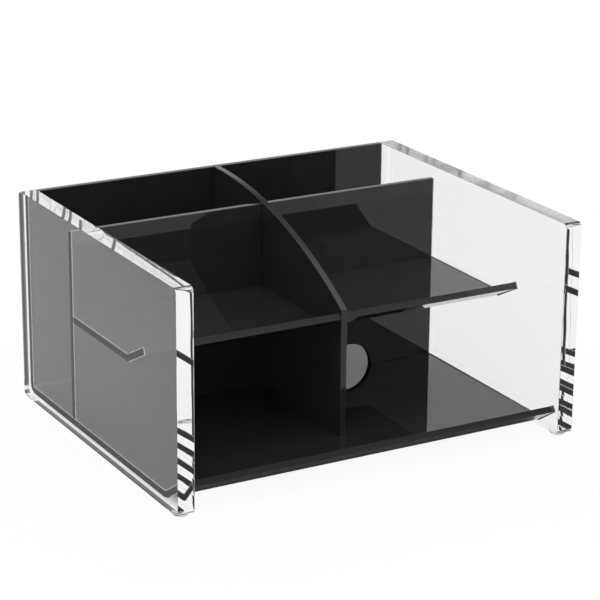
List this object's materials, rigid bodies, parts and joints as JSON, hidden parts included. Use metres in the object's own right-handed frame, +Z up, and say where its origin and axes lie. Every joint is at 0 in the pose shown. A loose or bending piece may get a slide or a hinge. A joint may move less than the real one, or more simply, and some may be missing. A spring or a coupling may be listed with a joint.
{
  "type": "desk organizer",
  "caption": "Low desk organizer: thick clear sides, black sheet base with lipped shelves, divider and rear pen trough.",
  "frame": {"origin": "on the desk, under the middle of the footprint", "axes": "+X to the right, -Y to the open front, +Z up"},
  "size_m": [0.2, 0.162, 0.101],
  "materials": {
    "black_acrylic": "polished",
    "clear_acrylic": "polished",
    "clear_bumper": "satin"
  },
  "bodies": {
    "root": {"back_and_base_sheet": "black_acrylic", "cross_wall": "black_acrylic", "center_divider": "black_acrylic", "shelf_left": "black_acrylic", "shelf_right": "black_acrylic", "side_panel_left": "clear_acrylic", "side_panel_right": "clear_acrylic", "foot_front_left": "clear_bumper", "foot_front_right": "clear_bumper", "foot_back_left": "clear_bumper", "foot_back_right": "clear_bumper"}
  },
  "joints": []
}
